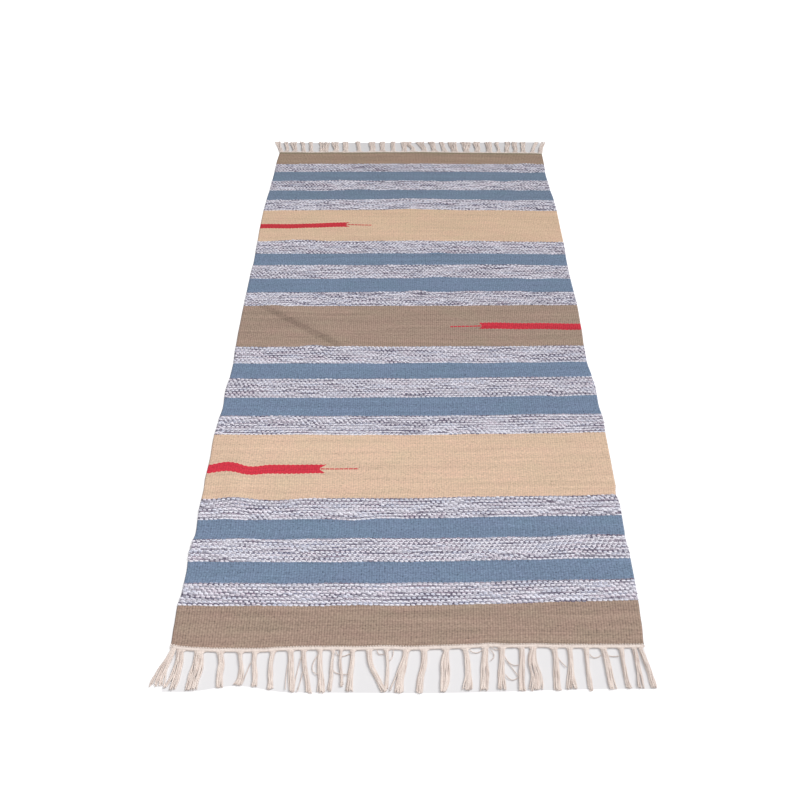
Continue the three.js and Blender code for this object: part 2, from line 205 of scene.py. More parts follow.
def weft_wander(across, along):
    """How far a weft strays along the cloth from its place on the loom."""
    side = np.clip(np.abs(across) / (CLOTH_WIDTH / 2), 0, 1) ** DRIFT_POWER
    stray = np.where(across < 0, ease(WEFT_DRIFT, LEFT, along), ease(WEFT_DRIFT, RIGHT, along))
    stray *= side
    for a, b, half_width, half_length, rise in np.array(WEFT_BOWS) * MM:
        stray += rise * swell((across - a) / half_width, (along - b) / half_length)
    by_across, by_along = STRAY_FINENESS
    fine = [
        noise.noise(Vector((a * by_across, b * by_along, STRAY_SEED)))
        for a, b in zip(across.flat, along.flat)
    ]
    stray += WEFT_STRAY * np.array(fine).reshape(across.shape)
    to_end = CLOTH_LENGTH / 2 - np.abs(along)
    return stray * np.clip(to_end / END_STILLNESS, 0, 1)


def lay(across, along):
    """The x and y at which a point of the loom lies on the floor."""
    left = -CLOTH_WIDTH / 2 - ease(SELVEDGES, LEFT, along)
    right = CLOTH_WIDTH / 2 + ease(SELVEDGES, RIGHT, along)
    x = left + (right - left) * (across / CLOTH_WIDTH + 0.5)
    share = along / CLOTH_LENGTH + 0.5
    y = along + (NEAR_END_SLOPE * (1 - share) + FAR_END_SLOPE * share) * x
    y += weft_wander(across, along)
    for end, waver in ((-1, NEAR_END_WAVER), (1, FAR_END_WAVER)):
        to_end = CLOTH_LENGTH / 2 - end * along
        y += ease(waver, STRAY, x) * np.clip(1 - to_end / WAVER_REACH, 0, 1)
    return x, y


WARP_ENDS = 173
RIB_PITCH = CLOTH_WIDTH / WARP_ENDS
RIB_STEPS = 2  # columns of the mesh to a rib
GROOVE_DEPTH = 0.0005  # between the ribs, on either face
# About the distance between rows of the mesh: closest where the cloth is creased, and widest
# under the thick floats of the marl stripes.
ROW_LENGTHS = {"marl": 0.0155, "blue": 0.0098, "sand": 0.0098, "taupe": 0.0062}
END_ROUNDING = 0.0014  # how far from an end the cloth has its full thickness
MAP_MARGIN = 0.004  # round each face of the cloth in its square map

# Stripes from the far end to the near one: the weft's yarn and the stripe's length, and in a
# marl stripe how much of the dark strand shows.
STRIPES = (
    ("taupe", 0.0560), ("marl", 0.0377, 0.38), ("blue", 0.0433), ("marl", 0.0423, 0.45),
    ("blue", 0.0431), ("marl", 0.0444, 0.42), ("sand", 0.1279), ("marl", 0.0473, 0.38),
    ("blue", 0.0436), ("marl", 0.0463, 0.34), ("blue", 0.0481), ("marl", 0.0472, 0.54),
    ("taupe", 0.1268), ("marl", 0.0476, 0.28), ("blue", 0.0431), ("marl", 0.0500, 0.31),
    ("blue", 0.0474), ("marl", 0.0465, 0.42), ("sand", 0.1419), ("marl", 0.0414, 0.35),
    ("blue", 0.0403), ("marl", 0.0434, 0.40), ("blue", 0.0385), ("marl", 0.0385, 0.36),
    ("taupe", 0.0654),
)
YARNS = ("taupe", "blue", "sand", "marl")

stripe_spans = []  # (yarn, lowest along, highest along, share of dark if marl)
reached = CLOTH_LENGTH / 2
for yarn, length, *dark_share in STRIPES:
    stripe_spans.append((yarn, reached - length, reached, dark_share))
    reached -= length

rows = []  # (along, yarn of the cloth above this row)
for yarn, low, high, _ in reversed(stripe_spans):
    steps = max(2, round((high - low) / ROW_LENGTHS[yarn]))
    rows += [(low + (high - low) * step / steps, yarn) for step in range(steps)]
rows[0] = (-CLOTH_LENGTH / 2, rows[0][1])
rows.insert(1, (-CLOTH_LENGTH / 2 + END_ROUNDING, rows[0][1]))
rows += [(CLOTH_LENGTH / 2 - END_ROUNDING, rows[-1][1]), (CLOTH_LENGTH / 2, rows[-1][1])]


def grid_mesh(name):
    """The cloth: an upper and a lower face of ribbed rows that meet along its four edges."""
    row_along = np.array([along for along, _ in rows])
    columns = WARP_ENDS * RIB_STEPS + 1
    column_across = np.linspace(-CLOTH_WIDTH / 2, CLOTH_WIDTH / 2, columns)
    across, along = np.meshgrid(column_across, row_along)
    x, y = lay(across, along)
    raised = lift(x, y)

    in_groove = np.arange(columns) % RIB_STEPS == 0
    groove = np.where(in_groove, GROOVE_DEPTH, 0.0)
    upper = raised + CLOTH_THICKNESS - groove
    lower = raised + groove
    middle = raised + CLOTH_THICKNESS / 2
    for face in (upper, lower):
        face[:, [0, -1]] = middle[:, [0, -1]]
        face[[0, -1], :] = middle[[0, -1], :]

    count = len(rows) * columns
    upper_index = np.arange(count).reshape(len(rows), columns)
    lower_index = upper_index.copy()
    inner = (len(rows) - 2) * (columns - 2)
    lower_index[1:-1, 1:-1] = count + np.arange(inner).reshape(len(rows) - 2, columns - 2)
    above = np.stack([x, y, upper, across, along], axis=-1).reshape(-1, 5)
    below = np.stack([x, y, lower, across, along], axis=-1)[1:-1, 1:-1].reshape(-1, 5)
    points, loom = np.split(np.concatenate([above, below]), [3], axis=1)

    def quads(index, upwards):
        a, b = index[:-1, :-1].ravel(), index[:-1, 1:].ravel()
        c, d = index[1:, 1:].ravel(), index[1:, :-1].ravel()
        order = (a, b, c, d) if upwards else (a, d, c, b)
        return np.stack(order, axis=1)

    faces = np.concatenate([quads(upper_index, True), quads(lower_index, False)])
    mesh = bpy.data.meshes.new(name)
    mesh.from_pydata(points.tolist(), [], faces.tolist())
    mesh.shade_smooth()
    row_yarn = np.array([YARNS.index(yarn) for _, yarn in rows[:-1]], dtype=np.int32)
    mesh.polygons.foreach_set("material_index", np.tile(np.repeat(row_yarn, columns - 1), 2))

    # One map holds the loom's own places in metres, for the weave. The other spreads the upper
    # and the lower face side by side over a square.
    corners = loom[faces.ravel()]
    share = corners / (CLOTH_WIDTH, CLOTH_LENGTH) + 0.5
    beneath = np.repeat([0.0, 0.5], faces.size // 2)
    spread = np.stack([
        MAP_MARGIN + (0.5 - 2 * MAP_MARGIN) * share[:, 0] + beneath,
        MAP_MARGIN + (1 - 2 * MAP_MARGIN) * share[:, 1],
    ], axis=1)
    for label, places in (("loom", corners), ("OFBake", spread)):
        mesh.uv_layers.new(name=label).data.foreach_set("uv", places.astype(np.float32).ravel())
    mesh.validate()
    return mesh


def add_node(tree, kind, inputs=None, **settings):
    """Adds a node, sets its properties, and links or sets its inputs, by name or by place."""
    node = tree.nodes.new(kind)
    for name, value in settings.items():
        setattr(node, name, value)
    for key, value in (inputs or {}).items():
        if isinstance(value, bpy.types.NodeSocket):
            tree.links.new(value, node.inputs[key])
        else:
            node.inputs[key].default_value = value
    return node


def tree_of(*values):
    """The node tree that the sockets among the values are in."""
    return next(value.id_data for value in values if isinstance(value, bpy.types.NodeSocket))


def calc(operation, *values):
    """The result of a Math node; each value is a number or a socket."""
    inputs = dict(enumerate(values))
    return add_node(tree_of(*values), "ShaderNodeMath", inputs, operation=operation).outputs[0]


def plus(first, second):
    return calc("ADD", first, second)


def minus(first, second):
    return calc("SUBTRACT", first, second)


def times(first, second, *added):
    """first times second, plus what is added to that."""
    return calc("MULTIPLY_ADD" if added else "MULTIPLY", first, second, *added)


def remap(value, low, high, to_low, to_high):
    """value eased from the range low to high onto to_low to to_high."""
    names = ("Value", "From Min", "From Max", "To Min", "To Max")
    inputs = dict(zip(names, (value, low, high, to_low, to_high)))
    node = add_node(value.id_data, "ShaderNodeMapRange", inputs, interpolation_type="SMOOTHSTEP")
    return node.outputs["Result"]


def blend(share, first, second, kind="MIX"):
    """Two colours mixed; share is how much of the second."""
    inputs = {0: share, 6: first, 7: second}
    node = add_node(tree_of(*inputs.values()), "ShaderNodeMix", inputs,
                    data_type="RGBA", blend_type=kind, clamp_factor=True)
    return node.outputs[2]


SOCKET_KINDS = {float: "Float", int: "Int", tuple: "Color"}


def new_group(name, inputs, outputs, tree_kind="ShaderNodeTree"):
    """An empty node group, the sockets that it is given and those that it gives. Each socket has
    its first value, or its kind."""
    tree = bpy.data.node_groups.new(name, tree_kind)
    for direction, sockets in (("INPUT", inputs), ("OUTPUT", outputs)):
        for label, first in sockets.items():
            kind = SOCKET_KINDS.get(type(first), first)
            full_kind = "NodeSocket" + kind
            socket = tree.interface.new_socket(label, in_out=direction, socket_type=full_kind)
            if kind != first:
                socket.default_value = first
    return tree, tree.nodes.new("NodeGroupInput").outputs, tree.nodes.new("NodeGroupOutput").inputs


def stretched_noise(across, along, fineness, weft_fineness, detail, seed):
    """Noise drawn out along the weft: so fine per metre along the cloth and along the weft."""
    tree = across.id_data
    place = add_node(tree, "ShaderNodeCombineXYZ", {
        0: times(across, weft_fineness), 1: times(along, fineness), 2: seed,
    })
    node = add_node(tree, "ShaderNodeTexNoise", {
        "Vector": place.outputs[0], "Scale": 1.0, "Detail": detail, "Roughness": 0.55,
    })
    return node.outputs["Fac"]


def loom_place(tree):
    """The across and along sockets of the loom's own places."""
    place = add_node(tree, "ShaderNodeUVMap", uv_map="loom")
    parts = add_node(tree, "ShaderNodeSeparateXYZ", {0: place.outputs["UV"]})
    return parts.outputs[0], parts.outputs[1]


# How fine each unevenness is along the cloth and along the weft, how detailed, and its seed.
STREAK = (420.0, 9.0, 3.0, 1.3)
WIDE_STREAK = (95.0, 3.5, 2.0, 7.9)
SLUB = (400.0, 250.0, 1.0, 4.1)
SPECK = (330.0, 260.0, 1.0, 12.7)
DYE_PATCH = (45.0, 22.0, 2.0, 21.5)
WIDE_STREAK_SHARE = 0.7
LINT_FROM_TO = (0.62, 0.78)  # of the speck noise
SOIL_FROM_TO = (0.38, 0.24)
SOIL_DEPTH = 1.4
DYE_PULL = (1.0, -0.5, 0.4)  # how uneven dye shows in red, green and blue
GROOVE_FROM_TO = (0.45, 1.0)  # from a rib's crest to its edge
GROOVE_HEIGHT = 0.35  # how high ribs, picks and slubs stand against each other
PICK_HEIGHT = 0.5
SLUB_HEIGHT = 0.5


def make_weft_face():
    """Packed weft over warp: ribs with painted shade in their grooves, fine picks, drawn-out streaks,
    slubs, flecks of lint and soil, and dye that has taken a little unevenly."""
    tree, given, result = new_group(
        "weft_face",
        {"Yarn": (0.5, 0.5, 0.5, 1.0), "Pick pitch": 0.0014, "Streaks": 0.1, "Slubs": 0.1,
         "Flecks": 0.1, "Dye": 0.1, "Groove shade": 0.2},
        {"Colour": "Color", "Height": "Float"},
    )
    across, along = loom_place(tree)
    rib = calc("DIVIDE", plus(across, CLOTH_WIDTH / 2), RIB_PITCH)
    from_crest = times(calc("ABSOLUTE", minus(calc("FRACT", rib), 0.5)), 2.0)
    groove = remap(from_crest, *GROOVE_FROM_TO, 0.0, 1.0)
    odd = times(calc("MODULO", calc("FLOOR", rib), 2.0), 0.5)
    pick = plus(calc("DIVIDE", along, given["Pick pitch"]), odd)
    pick_round = calc("ABSOLUTE", calc("SINE", times(pick, math.pi)))

    streak = stretched_noise(across, along, *STREAK)
    wide_streak = stretched_noise(across, along, *WIDE_STREAK)
    slub = stretched_noise(across, along, *SLUB)
    streaky = plus(minus(streak, 0.5), times(minus(wide_streak, 0.5), WIDE_STREAK_SHARE))
    shade = times(streaky, given["Streaks"])
    shade = plus(shade, times(minus(slub, 0.5), given["Slubs"]))
    speck = stretched_noise(across, along, *SPECK)
    lint = remap(speck, *LINT_FROM_TO, 0.0, 1.0)
    soil = remap(speck, *SOIL_FROM_TO, 0.0, SOIL_DEPTH)
    shade = plus(shade, times(minus(lint, soil), given["Flecks"]))
    # Painted shade: the grooves between the ribs are painted darker.
    shade = minus(shade, times(groove, given["Groove shade"]))
    level = times(shade, 2.0, 1.0)
    dye = times(minus(stretched_noise(across, along, *DYE_PATCH), 0.5), given["Dye"])
    channels = [times(level, times(dye, pull, 1.0)) for pull in DYE_PULL]
    tone = add_node(tree, "ShaderNodeCombineXYZ", dict(enumerate(channels))).outputs[0]
    tree.links.new(blend(1.0, given["Yarn"], tone, "MULTIPLY"), result["Colour"])

    height = times(minus(1.0, groove), GROOVE_HEIGHT)
    height = times(pick_round, PICK_HEIGHT, height)
    height = times(slub, SLUB_HEIGHT, height)
    tree.links.new(height, result["Height"])
    return tree


# The red bars: the weft each lies in, its yarn's colour, and its sizes. Along is its place where
# it ends, and from there it leans, as the line past it does. The ends count from the middle away
# from the selvedge it starts at. Side is 1 for the left selvedge and -1 for the right one.
BAR_SIZES = ("Along", "Lean", "Line lean", "Half thickness", "Line half thickness", "Fork depth",
             "Bar end", "Line end", "Side")
RED_BARS = (
    ("sand", (203, 58, 70), (0.3680, 0.010, 0.010, 0.0088, 0.0017, 0.0127, -0.1460, -0.088, 1)),
    ("taupe", (208, 58, 73), (0.0075, 0.020, -0.045, 0.0093, 0.0018, 0.0065, -0.1450, -0.083, -1)),
    ("sand", (212, 58, 74), (-0.3682, 0.000, 0.000, 0.0095, 0.0012, 0.0127, -0.1505, -0.088, 1)),
)
BAR_STEP = 0.0026  # how much its edge steps in and out over a pair of ribs
BAR_STEP_IN = 0.0007
DASH_GAP = 0.06  # between the line's dashes, as a share of two ribs


def make_inlaid_bar():
    """Where a coloured weft turns back inside the row: a bar from one selvedge with stepped
    edges and a forked end, then a single pick that shows as a row of dashes."""
    tree, given, result = new_group("inlaid_bar", dict.fromkeys(BAR_SIZES, 0.0), {"Mask": "Float"})
    across, along = loom_place(tree)
    inward = times(across, given["Side"])  # grows away from the selvedge
    from_end = minus(inward, given["Bar end"])
    middle = times(calc("MINIMUM", from_end, 0.0), given["Lean"], given["Along"])
    middle = times(calc("MAXIMUM", from_end, 0.0), given["Line lean"], middle)
    aside = minus(along, middle)
    off = calc("ABSOLUTE", aside)
    pair = calc("DIVIDE", across, 2 * RIB_PITCH)
    above = times(calc("GREATER_THAN", aside, 0.0), 0.5)
    step = calc("PINGPONG", plus(pair, above), 0.5)
    edge = times(step, BAR_STEP, minus(given["Half thickness"], BAR_STEP_IN))
    prong = calc("DIVIDE", off, given["Half thickness"])
    fork = times(minus(prong, 0.5), given["Fork depth"])
    bar = times(calc("LESS_THAN", off, edge), calc("LESS_THAN", from_end, fork))
    left = minus(given["Line end"], inward)
    line = calc("LESS_THAN", off, given["Line half thickness"])
    line = times(line, calc("GREATER_THAN", left, 0.0))
    line = times(line, calc("GREATER_THAN", calc("PINGPONG", pair, 0.5), DASH_GAP))
    tree.links.new(calc("MAXIMUM", bar, line), result["Mask"])
    return tree


# Where the crease's steep side gets painted shade: from its foot to its crest, and from its start to
# its end.
CREASE_SHADE_FOOT = (-0.018, -0.0125)
CREASE_SHADE_CREST = (-0.006, 0.001)
CREASE_SHADE_START = (0.01, 0.04)
CREASE_SHADE_END = (-0.06, -0.01)
CREASE_SHADE_DEPTH = 0.14  # how much darker the painted shade makes the yarns there


def make_painted_crease_shade():
    """Where the cloth has been folded: painted shade darkens the yarns along the crease's steep side.
    """
    tree, _, result = new_group("painted_crease_shade", {}, {"Mask": "Float"})
    across, along = loom_place(tree)
    run_x, run_y = (end - start for start, end in zip(CREASE_START, CREASE_END))
    run = math.hypot(run_x, run_y)
    from_x = minus(across, CREASE_START[0])
    from_y = minus(along, CREASE_START[1])
    lengthways = plus(times(from_x, run_x / run), times(from_y, run_y / run))
    aside = minus(times(from_y, run_x / run), times(from_x, run_y / run))
    edges = times(remap(aside, *CREASE_SHADE_FOOT, 0, 1), remap(aside, *CREASE_SHADE_CREST, 1, 0))
    ends = times(remap(lengthways, *CREASE_SHADE_START, 0, 1),
                 remap(lengthways, run + CREASE_SHADE_END[0], run + CREASE_SHADE_END[1], 1, 0))
    tree.links.new(times(edges, ends), result["Mask"])
    return tree


def linear(red, green, blue):
    """A display colour from 0 to 255 as a shader colour."""
    def channel(value):
        share = value / 255
        return share / 12.92 if share <= 0.04045 else ((share + 0.055) / 1.055) ** 2.4
    return (channel(red), channel(green), channel(blue), 1.0)


def new_material(name):
    """A material and its node tree, still empty."""
    material = bpy.data.materials.new(name)
    material.use_nodes = True
    material.node_tree.nodes.clear()
    return material, material.node_tree


def end_in_cotton(colour, roughness, specular, height=None, strength=0.0, depth=0.0):
    """Ends a material in matt cotton of that colour, with a bump where a height is given."""
    tree = colour.id_data
    inputs = {"Base Color": colour, "Roughness": roughness, "Specular IOR Level": specular}
    if height is not None:
        looks = {"Height": height, "Strength": strength, "Distance": depth}
        inputs["Normal"] = add_node(tree, "ShaderNodeBump", looks).outputs[0]
    surface = add_node(tree, "ShaderNodeBsdfPrincipled", inputs)
    add_node(tree, "ShaderNodeOutputMaterial", {"Surface": surface.outputs[0]})


# The last picks at the far end are painted darker and greener, as painted shade where the cloth turns
# down to the heading, and the far half a little darker and yellower, as painted shade where the
# light falls off: from and to along, how much, and what it does to a colour.
LAST_PICKS = (0.689, 0.693)
LAST_PICKS_SHADE_DEPTH = 0.34
LAST_PICKS_SHADE_TONE = (0.12, 0.195, 0.10, 1.0)
FAR_SHADE_FROM_TO = (0.0, 0.6)
FAR_SHADE_TONE = (0.955, 0.945, 0.90, 1.0)
# The colour that the crease's painted shade goes towards.
CREASE_SHADE_TONE = (0.0, 0.0, 0.0, 1.0)

# The plain wefts: colour, and how strongly each unevenness shows in it.
PLAIN_WEFTS = {
    "taupe": ((169, 146, 131), {"Streaks": 0.27, "Slubs": 0.42, "Flecks": 0.07, "Dye": 0.12,
                                "Groove shade": 0.135}),
    "blue": ((121, 139, 164), {"Streaks": 0.20, "Slubs": 0.52, "Flecks": 0.12, "Dye": 0.11,
                               "Groove shade": 0.09}),
    "sand": ((222, 192, 167), {"Streaks": 0.19, "Slubs": 0.30, "Flecks": 0.07, "Dye": 0.10,
                               "Groove shade": 0.06}),
}


def woven_material(weft, colour, looks):
    """Cotton weft of one colour, with the red bars that are woven into it."""
    material, tree = new_material(f"{weft}_weft")
    weave = add_node(tree, "ShaderNodeGroup", looks, node_tree=weft_face)
    yarn = linear(*colour)
    for host, red, sizes in RED_BARS:
        if host == weft:
            bar = add_node(tree, "ShaderNodeGroup", dict(zip(BAR_SIZES, sizes)), node_tree=inlaid_bar)
            yarn = blend(bar.outputs["Mask"], yarn, linear(*red))
    along = loom_place(tree)[1]
    if weft == "taupe":
        # Painted shade along the steep side of the crease.
        crease = add_node(tree, "ShaderNodeGroup", node_tree=painted_crease_shade)
        yarn = blend(times(crease.outputs["Mask"], CREASE_SHADE_DEPTH), yarn, CREASE_SHADE_TONE)
        # Painted shade on the last picks at the far end.
        yarn = blend(remap(along, *LAST_PICKS, 0, LAST_PICKS_SHADE_DEPTH), yarn, LAST_PICKS_SHADE_TONE)
    # Painted shade: the far half a little darker and yellower, where the light falls off.
    yarn = blend(remap(along, *FAR_SHADE_FROM_TO, 0, 1), yarn, FAR_SHADE_TONE, "MULTIPLY")
    tree.links.new(yarn, weave.inputs["Yarn"])
    end_in_cotton(weave.outputs["Colour"], roughness=0.92, specular=0.15,
                  height=weave.outputs["Height"], strength=0.45, depth=0.0006)
    return material


PICK_PITCH = 0.0028  # of the thick marl yarn
MARL_PALE = linear(247, 245, 254)
MARL_DARK = linear(106, 99, 119)
MARL_SHADE_TONE = linear(104, 98, 116)
GROUND_DRIFT = (3100.0, 14.0, 1.0, 2.2)  # as the unevennesses above
GROUND_DARK_FROM_TO = (0.50, 0.62)
HOLLOW_FROM_TO = (0.30, 0.5)  # from a float's middle to its edge
HOLLOW_SHADE = (0.64, 0.06)  # how much painted shade darkens the hollows, and everywhere


def marl_ground_material():
    """The marl stripes' ground: brick rows of pale and dark weft floats seen from close by, with
    painted shade in the hollows between them.
    """
    material, tree = new_material("marl_ground")
    across, along = loom_place(tree)
    row = calc("DIVIDE", along, PICK_PITCH)
    shed = calc("FLOOR", calc("DIVIDE", row, 2.0))
    shift = calc("PINGPONG", times(shed, 0.5), 0.5)
    pair = plus(calc("DIVIDE", across, 2 * RIB_PITCH), shift)
    from_middle = [calc("ABSOLUTE", minus(calc("FRACT", part), 0.5)) for part in (pair, row)]
    hollow = calc("MAXIMUM", *(remap(part, *HOLLOW_FROM_TO, 0, 1) for part in from_middle))
    drift = stretched_noise(across, times(calc("FLOOR", row), PICK_PITCH), *GROUND_DRIFT)
    colour = blend(remap(drift, *GROUND_DARK_FROM_TO, 0.0, 1.0), MARL_PALE, MARL_DARK)
    # Painted shade in the hollows between the floats, and a little everywhere.
    colour = blend(times(hollow, *HOLLOW_SHADE), colour, MARL_SHADE_TONE)
    end_in_cotton(colour, roughness=0.95, specular=0.1,
                  height=minus(1.0, hollow), strength=0.6, depth=0.001)
    return material


weft_face = make_weft_face()
inlaid_bar = make_inlaid_bar()
painted_crease_shade = make_painted_crease_shade()
cloth_mesh = grid_mesh("cloth")
for weft, (colour, looks) in PLAIN_WEFTS.items():
    cloth_mesh.materials.append(woven_material(weft, colour, looks))
cloth_mesh.materials.append(marl_ground_material())
cloth = show("cloth", cloth_mesh)
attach(cloth, "root")
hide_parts("woven_field")


# --------------------------------------
# Marl stripes. Their weft is two thick soft strands thrown side by side, one pale and one dark,
# that swap places now and then as they twist. Each float over a warp end stands up as a bead,
# and the beads of one throw sit between those of the next.
# --------------------------------------
FLOAT_LENGTH = 0.0077
FLOAT_WIDTH = 0.0034
FLOAT_HEIGHT = 0.0029
FLOAT_SEAT = 0.0030  # of the float's middle above the cloth's underside
FLOAT_SLANT = -0.13  # radians, from the yarn's twist
FLOAT_STRAY = (0.0004, 0.00025, 0.06)  # across, along, and radians of slant
FLOAT_SEGMENTS = 6
FLOAT_RINGS = 3
PLUMPNESS = ((0.90, 0.86, 0.82), (1.06, 1.10, 1.20))  # least and most length, width and height
PLUMPNESS_SEED = 11
DARK_FLOAT_WIDTH = 0.66  # a dark float's width against a pale one's
FAR_SHORTNESS = 0.16  # how much shorter the floats are at the far end
EDGE_OVERLAP = 0.0008  # how far the outer floats of a stripe lie over its neighbours
EDGE_FLOAT = CLOTH_WIDTH / 2 - 0.0032  # where the middle of the last float in a row may lie


def note(geometry, name, value, kind):
    """The geometry with that value noted at every point, under that name."""
    inputs = {"Geometry": geometry, "Name": name, "Value": value}
    node = add_node(geometry.id_data, "GeometryNodeStoreNamedAttribute", inputs,
                    data_type=kind, domain="POINT")
    return node.outputs[0]


def noted(tree, name, kind):
    """What a geometry has noted under that name."""
    return add_node(tree, "GeometryNodeInputNamedAttribute", {"Name": name}, data_type=kind).outputs[0]


def end_in_mesh(geometry, given, result):
    """Ends a tree with its geometry smooth, made real and given its material."""
    tree = geometry.id_data
    smooth = add_node(tree, "GeometryNodeSetShadeSmooth", {"Geometry": geometry})
    real = add_node(tree, "GeometryNodeRealizeInstances", {0: smooth.outputs[0]})
    inputs = {"Geometry": real.outputs[0], "Material": given["Material"]}
    dressed = add_node(tree, "GeometryNodeSetMaterial", inputs)
    tree.links.new(dressed.outputs[0], result[0])


def make_lay_floats():
    """Puts a bead of yarn on every point, turned along its pick, each a little different."""
    tree, given, result = new_group(
        "lay_floats",
        {"Geometry": "Geometry", "Length": FLOAT_LENGTH, "Width": FLOAT_WIDTH,
         "Height": FLOAT_HEIGHT, "Material": "Material"},
        {"Geometry": "Geometry"},
        "GeometryNodeTree",
    )
    bead = add_node(tree, "GeometryNodeMeshUVSphere", {
        "Segments": FLOAT_SEGMENTS, "Rings": FLOAT_RINGS, "Radius": 0.5,
    })
    lying = add_node(tree, "GeometryNodeTransform", {
        "Geometry": bead.outputs["Mesh"], "Rotation": (0.0, math.pi / 2, 0.0),
    })
    size = add_node(tree, "ShaderNodeCombineXYZ", {
        0: given["Length"], 1: given["Width"], 2: given["Height"],
    })
    sized = add_node(tree, "GeometryNodeTransform", {
        "Geometry": lying.outputs[0], "Scale": size.outputs[0],
    })
    place = add_node(tree, "GeometryNodeInputPosition").outputs[0]
    least, most = PLUMPNESS
    plump = add_node(tree, "FunctionNodeRandomValue", {0: least, 1: most, "Seed": PLUMPNESS_SEED},
                     data_type="FLOAT_VECTOR")
    scale = add_node(tree, "ShaderNodeVectorMath", {
        0: plump.outputs[0], 1: noted(tree, "fullness", "FLOAT_VECTOR"),
    }, operation="MULTIPLY")
    beads = add_node(tree, "GeometryNodeInstanceOnPoints", {
        "Points": given["Geometry"],
        "Instance": note(sized.outputs[0], "in_yarn", place, "FLOAT_VECTOR"),
        "Rotation": noted(tree, "turn", "FLOAT_VECTOR"), "Scale": scale.outputs[0],
    })
    end_in_mesh(beads.outputs[0], given, result)
    return tree


def grow(name, mesh, tree, inputs):
    """The plain object that a node tree makes of a mesh."""
    seed = show(name + "_seed", mesh)
    modifier = seed.modifiers.new("grow", "NODES")
    modifier.node_group = tree
    for socket in tree.interface.items_tree:
        if socket.in_out == "INPUT" and socket.name in inputs:
            modifier[socket.identifier] = inputs[socket.name]
    ready = seed.evaluated_get(bpy.context.evaluated_depsgraph_get())
    grown = bpy.data.meshes.new_from_object(ready)
    grown.name = name
    bpy.data.objects.remove(seed)
    return show(name, grown)


PLY_TWIST = 1500.0  # radians to a metre, along a float and across it
PLY_SHADE = 0.12
# A float's tint: from and to what noise it shows, how much, and the colour it goes towards.
TINTS = ((0.52, 0.85, 0.26, linear(214, 184, 200)), (0.48, 0.15, 0.35, linear(188, 198, 224)))


def attribute(tree, name, output="Fac"):
    """What a mesh has noted under that name, for a material."""
    return add_node(tree, "ShaderNodeAttribute", attribute_name=name).outputs[output]


def marl_yarn_material():
    """Soft two-colour cotton: each float's tone, and its two plies wound round each other."""
    material, tree = new_material("marl_yarn")
    parts = add_node(tree, "ShaderNodeSeparateXYZ", {0: attribute(tree, "in_yarn", "Vector")}).outputs
    slant = times(plus(parts[0], parts[1]), PLY_TWIST)
    share = plus(attribute(tree, "tone"), times(calc("SINE", slant), PLY_SHADE))
    colour = blend(share, MARL_PALE, MARL_DARK)
    for low, high, most, tint in TINTS:
        colour = blend(remap(attribute(tree, "tint"), low, high, 0.0, most), colour, tint)
    end_in_cotton(colour, roughness=0.95, specular=0.12)
    return material


SWING = 0.54  # how far the two strands' tones stand apart
SWING_SNAP = 2.4  # how quickly they swap
STRENGTH = 0.90  # of that swing, on the whole
STRENGTH_SWAY = 0.8
STRENGTH_LEAST = 0.15
SLIP_LONG = 0.50  # how far the strands' order wanders, over a hand's width and over a few ribs
SLIP_SHORT = 0.22
TWIST_NEAR = 0.20  # how often the strands swap places, at either end of the cloth
TWIST_FAR = 0.6
FLECK = 0.5  # how much of that shows as flecks of tone
JITTER_NEAR = 0.14  # how unlike its neighbours a float's tone is, at either end of the cloth
JITTER_FAR = 0.50
TINT_SWAY = 0.7
# The noise behind each: how fine per metre across, how fine from shed to shed, and its seed. The
# flecks' is fine per metre along as well.
SLIP_LONG_NOISE = (6, 0.4, 0.5)
SLIP_SHORT_NOISE = (21, 1.7, 5.5)
TWIST_NOISE = (95, 3.7, 2.5)
STRENGTH_NOISE = (11, 1.3, 8.5)
FLECK_NOISE = (110, 110, 6.5)
TINT_NOISE = (34, 1.8, 3.3)
AHEAD = 0.002  # how far along the weft a float looks for its heading


def drift(place, row, fineness, row_fineness, seed):
    """Smooth noise between about -1 and 1."""
    return noise.noise(Vector((place * fineness, row * row_fineness, seed)))


def note_points(mesh, name, values):
    """Notes a number or a vector at every point of a mesh, under that name."""
    values = np.array(values, dtype=np.float32)
    kind, field = ("FLOAT_VECTOR", "vector") if values.ndim == 2 else ("FLOAT", "value")
    mesh.attributes.new(name, kind, "POINT").data.foreach_set(field, values.ravel())


